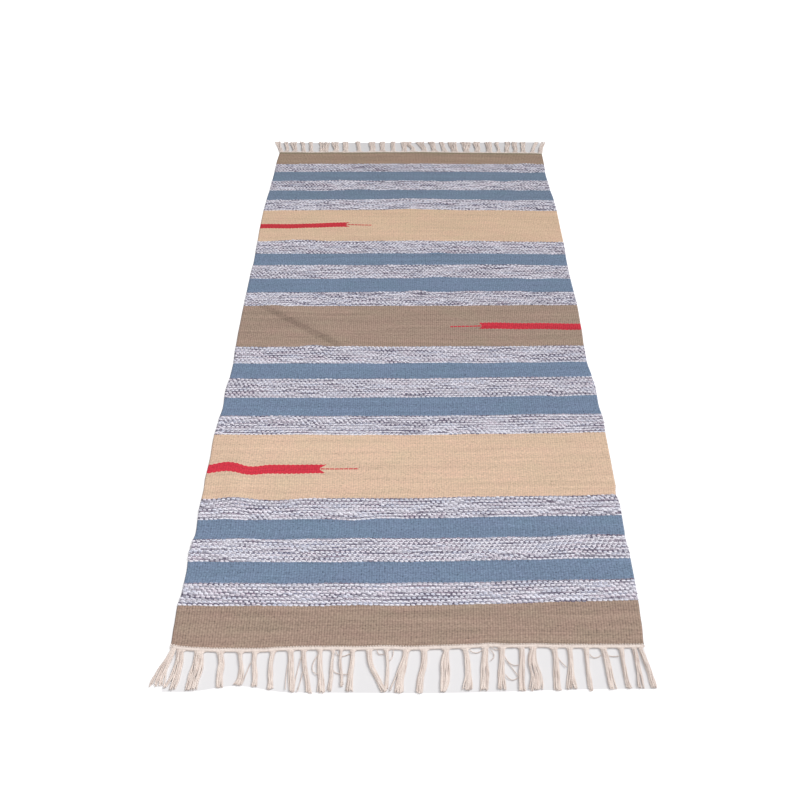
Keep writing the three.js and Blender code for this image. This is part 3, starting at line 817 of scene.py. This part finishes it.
def float_points(name, low, high, dark_share, first_shed):
    """One point for each float of a stripe, with its heading, fullness, tone and tint."""
    sheds = round((high - low) / PICK_PITCH / 2)
    low -= EDGE_OVERLAP
    shed_pitch = (high + EDGE_OVERLAP - low) / sheds
    rng = random.Random(2 * first_shed)
    farness = low / CLOTH_LENGTH + 0.5
    twist = TWIST_NEAR + (TWIST_FAR - TWIST_NEAR) * farness
    jitter = JITTER_NEAR + (JITTER_FAR - JITTER_NEAR) * farness
    floats = []
    for shed in range(first_shed, first_shed + sheds):
        start = low + (shed - first_shed) * shed_pitch
        for warp in range(shed % 2, WARP_ENDS, 2):
            a = (warp + 0.5) * RIB_PITCH - CLOTH_WIDTH / 2
            a = min(EDGE_FLOAT, max(-EDGE_FLOAT, a))
            slip = SLIP_LONG * drift(a, shed, *SLIP_LONG_NOISE)
            slip += SLIP_SHORT * drift(a, shed, *SLIP_SHORT_NOISE)
            slip += twist * drift(a, shed, *TWIST_NOISE)
            strength = STRENGTH + STRENGTH_SWAY * drift(a, shed, *STRENGTH_NOISE)
            strength = min(1.0, max(STRENGTH_LEAST, strength))
            swing = SWING * strength * math.tanh(SWING_SNAP * math.cos(2 * math.pi * slip))
            tones = []
            for side in (-1, 1):
                dark = dark_share + side * swing
                dark += FLECK * twist * drift(a, start + side * PICK_PITCH / 2, *FLECK_NOISE)
                tones.append(min(1.0, max(0.0, dark + rng.uniform(-jitter, jitter))))
            widths = [1 - (1 - DARK_FLOAT_WIDTH) * tone for tone in tones]
            share = widths[0] / sum(widths)
            for strand, middle in enumerate((share / 2, share / 2 + 0.5)):
                width = 2 * widths[strand] / sum(widths)
                floats.append((
                    a + rng.gauss(0, FLOAT_STRAY[0]),
                    start + middle * shed_pitch + rng.gauss(0, FLOAT_STRAY[1]),
                    FLOAT_SLANT + rng.gauss(0, FLOAT_STRAY[2]),
                    tones[strand],
                    0.5 + TINT_SWAY * drift(a, shed + 0.5 * strand, *TINT_NOISE),
                    1 - FAR_SHORTNESS * farness, width, width ** 0.5,
                ))
    across, along, slant, tone, tint, *fullness = np.array(floats).T
    x, y = lay(across, along)
    ahead_x, ahead_y = lay(across + AHEAD, along)
    turn = np.zeros((len(x), 3))
    turn[:, 2] = np.arctan2(ahead_y - y, ahead_x - x) + slant
    mesh = bpy.data.meshes.new(name)
    mesh.from_pydata(np.stack([x, y, lift(x, y) + FLOAT_SEAT], axis=1).tolist(), [], [])
    note_points(mesh, "turn", turn)
    note_points(mesh, "fullness", np.stack(fullness, axis=1))
    note_points(mesh, "tone", tone)
    note_points(mesh, "tint", tint)
    return mesh, first_shed + sheds


lay_floats = make_lay_floats()
marl_yarn = marl_yarn_material()
marl_stripes = []
next_shed = 0
for yarn, low, high, dark_share in reversed(stripe_spans):
    if yarn == "marl":
        name = f"marl_stripe_{len(marl_stripes) + 1:02d}"
        points, next_shed = float_points(name + "_points", low, high, *dark_share, next_shed)
        piece = grow(name, points, lay_floats, {"Material": marl_yarn})
        marl_stripes.append(piece)
        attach(piece, "root")


# --------------------------------------
# Fringe. It is the cotton warp itself: past the last pick its ends are held by a heading, a few
# rows of cream twining. From there each runs along under the heading to the nearest tassel,
# which is a loose bundle of them.
# --------------------------------------
HEADING_DEPTH = 0.0052
HEADING_GAP = 0.0003
HEADING_ROWS = ((0.0004, 0.0028), (0.0022, 0.0022), (0.0040, 0.0019))  # distance out, height
FAN_DEPTH = HEADING_DEPTH + 0.0036  # where the warp ends of a tassel have come together
SELVEDGE_ENDS = 3  # doubled warp ends at each selvedge

# Tassels from left to right, in millimetres: the places of root, middle and tip, the widths
# there, and how far out from the end of the cloth the tip lies.
NEAR_TASSELS = (
    (-344, -352, -357, 8, 15, 20, 63), (-333, -332, -337, 11, 14, 19, 65),
    (-305, -305, -308, 13, 18, 16, 64), (-274, -270, -268, 9, 10, 11, 59),
    (-245, -240, -242, 7, 7, 12, 55), (-224, -221, -219, 7, 8, 9, 57),
    (-198, -198, -197, 7, 8, 8, 63), (-172, -168, -164, 8, 10, 8, 68),
    (-153, -148, -141, 7, 8, 8, 70), (-129, -127, -122, 7, 9, 10, 70),
    (-110, -111, -112, 5, 3, 3, 67), (-99, -98, -95, 4, 4, 4, 60),
    (-82, -83, -83, 7, 8, 10, 67), (-58, -51, -35, 8, 8, 7, 69),
    (-33, -31, -34, 6, 4, 4, 67), (-4, -11, -16, 9, 12, 14, 70),
    (22, 19, 14, 9, 11, 11, 70), (54, 51, 48, 8, 15, 9, 69),
    (82, 84, 82, 8, 9, 13, 68), (111, 108, 106, 8, 12, 12, 70),
    (135, 132, 130, 9, 9, 12, 69), (164, 161, 159, 8, 9, 9, 70),
    (180, 179, 178, 9, 17, 18, 70), (211, 210, 209, 8, 9, 11, 69),
    (233, 231, 229, 7, 9, 17, 68), (257, 255, 255, 7, 6, 7, 69),
    (282, 284, 285, 8, 10, 9, 67), (308, 307, 308, 7, 6, 8, 66),
    (327, 327, 327, 7, 8, 9, 67), (336, 341, 343, 6, 8, 8, 65),
)
FAR_TASSELS = (
    (-342, -349, -355, 11, 13, 15, 56), (-325, -328, -331, 9, 10, 11, 56),
    (-304, -308, -312, 11, 16, 20, 56), (-280, -284, -289, 11, 10, 11, 56),
    (-261, -263, -266, 9, 9, 10, 57), (-227, -229, -232, 22, 26, 28, 56),
    (-195, -198, -201, 13, 16, 20, 56), (-170, -171, -173, 13, 15, 15, 57),
    (-134, -136, -139, 11, 10, 11, 58), (-99, -100, -102, 14, 16, 17, 56),
    (-72, -73, -73, 13, 13, 15, 55), (-44, -45, -46, 11, 11, 13, 56),
    (-15, -15, -16, 13, 13, 17, 56), (8, 2, -3, 12, 13, 17, 55),
    (38, 33, 26, 13, 17, 24, 55), (65, 62, 57, 14, 13, 18, 56),
    (92, 88, 83, 13, 11, 12, 56), (118, 115, 113, 16, 20, 27, 57),
    (149, 149, 148, 14, 19, 28, 58), (177, 178, 178, 13, 16, 19, 59),
    (209, 209, 209, 14, 17, 20, 59), (233, 233, 233, 8, 8, 10, 59),
    (256, 258, 260, 12, 13, 17, 60), (277, 278, 279, 11, 12, 15, 60),
    (298, 300, 302, 11, 13, 16, 60), (322, 329, 337, 9, 10, 11, 61),
    (343, 348, 354, 11, 12, 13, 62),
)
# Threads that have worked loose, in millimetres: start, middle and end, each as the place across
# and the distance out from the end of the cloth.
NEAR_THREADS = (
    (-156, 16, -160, 40, -162, 61), (-152, 39, -154, 53, -157, 68), (-132, 13, -139, 32, -131, 43),
    (-106, 8, -99, 15, -84, 10), (-109, 36, -102, 41, -88, 43), (-46, 6, -44, 12, -36, 13),
    (-23, 6, -24, 16, -28, 23), (88, 9, 98, 13, 108, 8), (117, 9, 123, 18, 118, 26),
    (119, 5, 125, 9, 131, 9), (137, 17, 146, 30, 157, 32), (138, 20, 149, 39, 157, 51),
    (137, 47, 145, 54, 154, 51), (213, 17, 218, 26, 225, 35), (261, 15, 267, 20, 277, 17),
    (286, 17, 294, 18, 303, 18), (-228, 22, -232, 37, -236, 54), (-173, 17, -175, 40, -174, 64),
)


def warp_places(outward):
    """Where each warp end leaves the cloth: -1 is the near end and 1 the far one."""
    across = (np.arange(WARP_ENDS) + 0.5) * RIB_PITCH - CLOTH_WIDTH / 2
    return lay(across, np.full(WARP_ENDS, outward * CLOTH_LENGTH / 2))[0]


def bezier(points, t):
    """The point at t on the curve that four control points steer."""
    a, b, c, d = (np.array(point) for point in points)
    u = 1 - t
    return a * u ** 3 + 3 * b * u * u * t + 3 * c * u * t * t + d * t ** 3


def through(start, middle, end, t):
    """The value at t on the parabola through three values at 0, 0.5 and 1."""
    return start * (1 - t) * (1 - 2 * t) + middle * 4 * t * (1 - t) + end * t * (2 * t - 1)


STRAND_RADIUS = 0.00108
STRAND_STEPS = 16
STRAND_REACH = (0.960, 1.014)  # of its tassel's length
STRAND_TURNS = 1.6  # how often the two strands of a warp end sway against each other
STRAND_TURN_APART = 2.4  # radians between the sway of one warp end and of the next
# In strand radii: how far each of the two lies from their middle, how much that sways and how
# much they rise by turns; and what a tassel's outline leaves to the middles of its strands.
STRAND_APART = 0.72
STRAND_SWAY = 0.22
STRAND_RISE = 0.25
TASSEL_HEM = 3.6
# Also in radii: how high the lowest strands lie, how much higher those on top of them and those
# that cross over, and how much the tassel sinks towards its tip.
LOW_LAYER = 1.3
TOP_LAYER = 1.2
CROSSING = 0.7
TIP_SINK = 0.35
HEADING_RISE = 0.0008  # how much higher a strand lies where it leaves the heading
TASSEL_SWAY = 0.0009
TIP_WANDER = 0.0009
TIP_STRAY = 0.0045  # of the few that stray more
STRAY_SHARE = 0.08
RIPPLE_SIZE = 0.0005  # of the small waves along a strand
RIPPLE_TURN = 11  # radians from the heading to the tip
RIPPLE_STARTS = (0, 6.28)
TIP_GIRTH = [0.97, 0.90]
# Under the heading: steps, the place where a strand starts, how far short of the heading's edge
# it turns, its heights at the two turns, and how it steers from the warp end to the tassel.
BEND_STEPS = 6
BEND_SPREAD = 0.6  # of a radius, between the two strands
BEND_START = (HEADING_DEPTH - 0.0030, 0.0016)
BEND_SHORT = (0.0006, 0.0014)
BEND_HEIGHTS = (0.0013, 0.0015)
BEND_STEER = (0.5, 0.22)
# A loose thread: how thin it is against the others, its shade, and how high its middle lies. Its
# ends lie twice as high.
THREAD_STEPS = 10
THREAD_GIRTH = 0.62
THREAD_SHADE = 0.6
THREAD_HEIGHT = 0.0012


def tassel_paths(row, places, rng):
    """The paths of one tassel's strands, out of the heading, under it to the tassel, and down."""
    root, middle, tip, root_width, middle_width, tip_width, length = (v * MM for v in row)
    count = len(places)
    later = list(range(count))
    for _ in range(count // 2):
        k = rng.randrange(count - 1)
        later[k], later[k + 1] = later[k + 1], later[k]
    sway = rng.gauss(0, TASSEL_SWAY)
    paths = []
    for k, strand in itertools.product(range(count), (-1, 1)):
        first = (k + 0.5) / count - 0.5
        last = (later[k] + 0.5) / count - 0.5
        layer = (k % 2) * (1 - abs(2 * first) ** 3)
        shade = rng.random()
        reach = length * rng.uniform(*STRAND_REACH)
        stays = rng.random() > STRAY_SHARE
        wander = rng.gauss(0, TIP_WANDER) if stays else rng.uniform(-TIP_STRAY, TIP_STRAY)
        ripple = rng.uniform(*RIPPLE_STARTS)
        hang = []
        for step in range(STRAND_STEPS + 1):
            t = step / STRAND_STEPS
            out = FAN_DEPTH + (reach - FAN_DEPTH) * t
            swap = t * t * (3 - 2 * t)
            width = through(root_width, middle_width, tip_width, t) - TASSEL_HEM * STRAND_RADIUS
            aside = (first * (1 - swap) + last * swap) * width * count / max(1, count - 1)
            turn = STRAND_TURN_APART * k + 2 * math.pi * STRAND_TURNS * t
            aside += strand * STRAND_RADIUS * (STRAND_APART + STRAND_SWAY * math.cos(turn))
            x = through(root, middle, tip, t) + sway * math.sin(2 * math.pi * t) + aside
            x += wander * t * t + RIPPLE_SIZE * math.sin(ripple + t * RIPPLE_TURN) * t
            crossing = 4 * swap * (1 - swap) if later[k] > k else 0.0
            radii = LOW_LAYER + TOP_LAYER * layer * (1 - TIP_SINK * t) + CROSSING * crossing
            radii += STRAND_RISE * strand * math.sin(turn)
            hang.append((x, out, STRAND_RADIUS * radii + HEADING_RISE * (1 - t) ** 3))
        place = places[k] + strand * BEND_SPREAD * STRAND_RADIUS
        under = HEADING_DEPTH - rng.uniform(*BEND_SHORT)
        aim = hang[0]
        leave = place + BEND_STEER[0] * (aim[0] - place)
        arrive = aim[0] + BEND_STEER[1] * (place - aim[0])
        steer = ((place, *BEND_START), (leave, under, BEND_HEIGHTS[0]),
                 (arrive, under, BEND_HEIGHTS[1]), aim)
        path = [tuple(bezier(steer, step / BEND_STEPS)) for step in range(BEND_STEPS)] + hang
        paths.append((path, [1.0] * (len(path) - 2) + TIP_GIRTH, shade))
    return paths


def thread_path(ax, a_out, bx, b_out, cx, c_out):
    """The path of a thread that has worked loose."""
    path = []
    for step in range(THREAD_STEPS + 1):
        t = step / THREAD_STEPS
        z = THREAD_HEIGHT * (1 + abs(2 * t - 1))
        path.append((through(ax, bx, cx, t) * MM, through(a_out, b_out, c_out, t) * MM, z))
    return path, [THREAD_GIRTH] * len(path), THREAD_SHADE


def strand_seed(name, tassels, threads, end_of_cloth, outward, seed):
    """A mesh of one line of edges for every strand, with its girth and shade at every point."""
    rng = random.Random(seed)
    roots = np.array([row[0] for row in tassels]) * MM
    gathered = [[] for _ in tassels]
    warp = warp_places(outward)
    for place in sorted([*warp[:SELVEDGE_ENDS], *warp, *warp[-SELVEDGE_ENDS:]]):
        gathered[int(np.argmin(np.abs(roots - place)))].append(place)
    paths = []
    for row, places in zip(tassels, gathered):
        paths += tassel_paths(row, places, rng)
    paths += [thread_path(*thread) for thread in threads]

    points, edges, girths, shades = [], [], [], []
    for path, girth, shade in paths:
        edges += [(len(points) + k, len(points) + k + 1) for k in range(len(path) - 1)]
        points += [(x, end_of_cloth(x) + outward * out, z) for x, out, z in path]
        girths += girth
        shades += [shade] * len(path)
    mesh = bpy.data.meshes.new(name)
    mesh.from_pydata(points, edges, [])
    note_points(mesh, "girth", girths)
    note_points(mesh, "shade", shades)
    return mesh


def make_spin_strands():
    """Spins a round cotton strand along every line of edges."""
    tree, given, result = new_group(
        "spin_strands",
        {"Geometry": "Geometry", "Radius": STRAND_RADIUS, "Sides": 5, "Material": "Material"},
        {"Geometry": "Geometry"},
        "GeometryNodeTree",
    )
    line = add_node(tree, "GeometryNodeMeshToCurve", {0: given["Geometry"]}).outputs[0]
    length = add_node(tree, "GeometryNodeSplineParameter").outputs["Length"]
    ring = add_node(tree, "GeometryNodeCurvePrimitiveCircle", {
        "Resolution": given["Sides"], "Radius": 1.0,
    })
    place = add_node(tree, "GeometryNodeInputPosition").outputs[0]
    spun = add_node(tree, "GeometryNodeCurveToMesh", {
        "Curve": note(line, "yarn_length", length, "FLOAT"),
        "Profile Curve": note(ring.outputs[0], "yarn_round", place, "FLOAT_VECTOR"),
        "Scale": times(noted(tree, "girth", "FLOAT"), given["Radius"]),
        "Fill Caps": True,
    })
    end_in_mesh(spun.outputs[0], given, result)
    return tree


CREAM_YARN = linear(240, 227, 219)
CREAM_SHADE = linear(201, 183, 175)
PLY_TURN = 0.0075
PLY_FURROW = 0.55  # how much of the yarn's round its furrows take up
# painted shade in the furrows between the plies
PLY_FURROW_SHADE = 0.32
STRAND_SHADES = (0.45, -0.15)  # how unlike each other the strands are, and where that starts
# Soil: how fine per metre, from and to what noise, and how much it shades the yarn.
STRAND_SOIL = (140.0, 0.35, 0.75, 0.35)
TWINING_SOIL = (260.0, 0.40, 0.75, 0.50)


def soiling(tree, fineness, low, high, most):
    """Noise through the piece and how much soil it makes."""
    spot = add_node(tree, "ShaderNodeTexCoord").outputs["Object"]
    inputs = {"Vector": spot, "Scale": fineness, "Detail": 3.0, "Roughness": 0.6}
    soil = add_node(tree, "ShaderNodeTexNoise", inputs).outputs["Fac"]
    return soil, remap(soil, low, high, 0.0, most)


def cream_strand_material():
    """Undyed cotton twine: two plies wound round each other with painted shade in the furrows between
    them, a little soiled in places.
    """
    material, tree = new_material("cream_strand")
    ring = attribute(tree, "yarn_round", "Vector")
    parts = add_node(tree, "ShaderNodeSeparateXYZ", {0: ring}).outputs
    angle = calc("ARCTAN2", parts[1], parts[0])
    wind = times(attribute(tree, "yarn_length"), 2 * math.pi / PLY_TURN, angle)
    lobes = calc("ABSOLUTE", calc("SINE", wind))
    # Painted shade in the furrows between the two plies.
    furrow = remap(lobes, 0.0, PLY_FURROW, PLY_FURROW_SHADE, 0.0)
    shade = plus(furrow, soiling(tree, *STRAND_SOIL)[1])
    unlike, least = STRAND_SHADES
    shade = plus(shade, times(attribute(tree, "shade"), unlike, least))
    end_in_cotton(blend(shade, CREAM_YARN, CREAM_SHADE), roughness=0.9, specular=0.15,
                  height=lobes, strength=0.5, depth=0.0006)
    return material


def cream_twining_material():
    """The same cotton where it is twined across the warp ends as the heading."""
    material, tree = new_material("cream_twining")
    soil, shade = soiling(tree, *TWINING_SOIL)
    end_in_cotton(blend(shade, CREAM_YARN, CREAM_SHADE), roughness=0.92, specular=0.12,
                  height=soil, strength=0.3, depth=0.0004)
    return material


TWINING_TURN = {"Length": 0.0040, "Width": 0.0028}
TWINING_HEIGHT = 0.0030
TWINING_LEAN = 0.42  # radians
TWINING_SHIFT = RIB_PITCH / 4  # of every other row
CORE_RADIUS = 0.0017  # of the bar inside, before it is flattened
CORE_RINGS = 141
CORE_SIDES = 10


def heading_points(name, end_of_cloth, outward, flatness):
    """One point for each turn of the twining over a warp end."""
    points = []
    for pick, (out, crown) in enumerate(HEADING_ROWS):
        for x in warp_places(outward) + (TWINING_SHIFT if pick % 2 else -TWINING_SHIFT):
            points.append((x, end_of_cloth(x) + outward * out, crown * flatness))
    mesh = bpy.data.meshes.new(name)
    mesh.from_pydata(points, [], [])
    note_points(mesh, "fullness", [(1.0, 1.0, 1.0)] * len(points))
    note_points(mesh, "turn", [(0.0, 0.0, outward * TWINING_LEAN)] * len(points))
    return mesh


def heading_core(name, end_of_cloth, outward, flatness, material):
    """The round bar of warp and weft inside the twining."""
    bar = bmesh.new()
    places = warp_places(outward)
    rings = []
    for x in np.linspace(places[0], places[-1], CORE_RINGS):
        ring = []
        for corner in range(CORE_SIDES):
            angle = 2 * math.pi * corner / CORE_SIDES * outward
            out = HEADING_GAP + HEADING_DEPTH * (0.5 - 0.5 * math.cos(angle))
            z = CORE_RADIUS * flatness * (1 - math.sin(angle) * outward)
            ring.append(bar.verts.new((x, end_of_cloth(x) + outward * out, z)))
        rings.append(ring)
    for ring, after in zip(rings, rings[1:]):
        for k in range(CORE_SIDES):
            beside = (k + 1) % CORE_SIDES
            bar.faces.new((ring[k], ring[beside], after[beside], after[k]))
    bar.faces.new(rings[0])
    bar.faces.new(rings[-1][::-1])
    bmesh.ops.recalc_face_normals(bar, faces=bar.faces)
    mesh = bpy.data.meshes.new(name)
    bar.to_mesh(mesh)
    bar.free()
    mesh.materials.append(material)
    mesh.shade_smooth()
    return show(name, mesh)


spin_strands = make_spin_strands()
cream_strand = cream_strand_material()
cream_twining = cream_twining_material()
fringes = []
for side, tassels, threads, end_of_cloth, outward, flatness, seed in (
    ("near", NEAR_TASSELS, NEAR_THREADS, near_end, -1, 1.0, 5),
    ("far", FAR_TASSELS, (), far_end, 1, 0.6, 6),
):
    lines = strand_seed(f"{side}_warp_ends_lines", tassels, threads, end_of_cloth, outward, seed)
    warp_ends = grow(f"{side}_warp_ends", lines, spin_strands, {"Material": cream_strand})
    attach(warp_ends, "root")
    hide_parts(f"{side}_fringe")
    points = heading_points(f"{side}_twining_points", end_of_cloth, outward, flatness)
    looks = {**TWINING_TURN, "Height": TWINING_HEIGHT * flatness, "Material": cream_twining}
    twining = grow(f"{side}_twining", points, lay_floats, looks)
    core = heading_core(f"{side}_heading_core", end_of_cloth, outward, flatness, cream_twining)
    for piece in (twining, core):
        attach(piece, "root")
    fringes += [warp_ends, twining, core]


# --------------------------------------
# Floor and light: a plain pale floor under soft studio light, from a wide lamp high over the
# near end and a broader, weaker one from the far right.
# --------------------------------------
FLOOR_SIZE = 12.0
FLOOR_GREY_AND_FALLOFF = (-0.75, 0.75, 0.80, 0.71)  # from and to along; near the camera and beyond the rug: the floor's own grey, darker far off as painted shade where the light falls off
FLOOR_GREEN = 0.985  # of its red and blue
FLOOR_GLOW = (-0.9, 1.6, 0.30, 0.80)
FLOOR_DISTANT_GLOW = (2.6, 4.5, 0.0, 0.6)
# The floor is lifted to white for the camera except between the tassels, where it keeps the
# grey it has. These are the bounds of that, from the rug's middle: sideways, near and far.
SHADE_SIDE = (0.269, 0.275)
SHADE_FLARE = 0.1  # how much wider it gets with each metre away from the middle
SHADE_START = (0.690, 0.700)
SHADE_NEAR_STOP = (0.7690, 0.7710)
SHADE_NEAR_DIP = -0.243  # where the near tassels are shorter
SHADE_NEAR_DIP_DEPTH = (0.0, 0.075, 0.009, 0.0)  # from and to, away from there; from and to depth
SHADE_NEAR_SLOPE = (0.0, 0.32, 0.0, 0.008)  # how it draws in to the right
SHADE_FAR_STOP = (0.7560, 0.7590)
WHITE = (1.0, 1.0, 1.0, 1.0)
WORLD_LEVEL = 0.295
KEY_PLACE = (-0.25, -1.3, 2.5)
KEY_SIZE = 1.8
KEY_POWER = 26.0
SIDE_LIGHT_FROM = (1.0, 0.55, 1.10)
SIDE_LIGHT_WIDTH = math.radians(28)
SIDE_LIGHT = 1.95

floor_material, tree = new_material("floor_paint")
spot = add_node(tree, "ShaderNodeTexCoord").outputs["Object"]
floor_x, floor_y = add_node(tree, "ShaderNodeSeparateXYZ", {0: spot}).outputs[0:2]
from_rug = add_node(tree, "ShaderNodeVectorMath", {0: spot}, operation="LENGTH").outputs["Value"]
lit = plus(remap(floor_y, *FLOOR_GLOW), remap(from_rug, *FLOOR_DISTANT_GLOW))
from_waist = calc("ABSOLUTE", floor_y)
sideways = times(from_waist, -SHADE_FLARE, calc("ABSOLUTE", floor_x))
beneath = times(remap(sideways, *SHADE_SIDE, 1, 0), remap(from_waist, *SHADE_START, 0, 1))
beneath = times(beneath, remap(floor_y, *SHADE_FAR_STOP, 1, 0))
from_dip = calc("ABSOLUTE", minus(floor_x, SHADE_NEAR_DIP))
drawn_in = plus(remap(from_dip, *SHADE_NEAR_DIP_DEPTH), remap(floor_x, *SHADE_NEAR_SLOPE))
beneath = times(beneath, remap(minus(drawn_in, floor_y), *SHADE_NEAR_STOP, 1, 0))
lit = times(lit, minus(1.0, beneath))
# The floor's own grey, painted darker towards the far end as painted shade.
grey = remap(floor_y, *FLOOR_GREY_AND_FALLOFF)
paint = add_node(tree, "ShaderNodeCombineXYZ", {0: grey, 1: times(grey, FLOOR_GREEN), 2: grey})
matt = add_node(tree, "ShaderNodeBsdfDiffuse", {"Color": paint.outputs[0]})
glow = add_node(tree, "ShaderNodeEmission", {"Color": WHITE, "Strength": lit})
no_glow = add_node(tree, "ShaderNodeEmission", {"Strength": 0.0})
seen = add_node(tree, "ShaderNodeLightPath").outputs
chosen = add_node(tree, "ShaderNodeMixShader", {
    0: seen["Is Camera Ray"], 1: no_glow.outputs[0], 2: glow.outputs[0],
})
both = add_node(tree, "ShaderNodeAddShader", {0: matt.outputs[0], 1: chosen.outputs[0]})
add_node(tree, "ShaderNodeOutputMaterial", {"Surface": both.outputs[0]})

half = FLOOR_SIZE / 2
floor_mesh = bpy.data.meshes.new("floor")
corners = [(-half, -half, 0), (half, -half, 0), (half, half, 0), (-half, half, 0)]
floor_mesh.from_pydata(corners, [], [(0, 1, 2, 3)])
floor_mesh.materials.append(floor_material)
floor = show("floor", floor_mesh)

world = bpy.data.worlds.new("studio")
bpy.context.scene.world = world
world.use_nodes = True
sky = world.node_tree
sky.nodes.clear()
seen = add_node(sky, "ShaderNodeLightPath").outputs
shows = calc("MAXIMUM", seen["Is Camera Ray"], seen["Is Glossy Ray"])
shows = calc("MAXIMUM", shows, seen["Is Transmission Ray"])
lit = add_node(sky, "ShaderNodeBackground", {"Color": WHITE, "Strength": WORLD_LEVEL})
white = add_node(sky, "ShaderNodeBackground", {"Color": WHITE, "Strength": 1.0})
either = add_node(sky, "ShaderNodeMixShader", {0: shows, 1: lit.outputs[0], 2: white.outputs[0]})
add_node(sky, "ShaderNodeOutputWorld", {"Surface": either.outputs[0]})


def aim_lamp(name, kind, energy, place):
    """Puts a lamp at a place, turned towards the rug's middle."""
    data = bpy.data.lights.new(name, kind)
    data.energy = energy
    lamp = show(name, data)
    lamp.location = place
    lamp.rotation_euler = (-Vector(place)).to_track_quat("-Z", "Y").to_euler()
    return data


aim_lamp("key_light", "AREA", KEY_POWER, KEY_PLACE).size = KEY_SIZE
aim_lamp("side_light", "SUN", SIDE_LIGHT, SIDE_LIGHT_FROM).angle = SIDE_LIGHT_WIDTH

bpy.context.scene.view_settings.view_transform = "Standard"
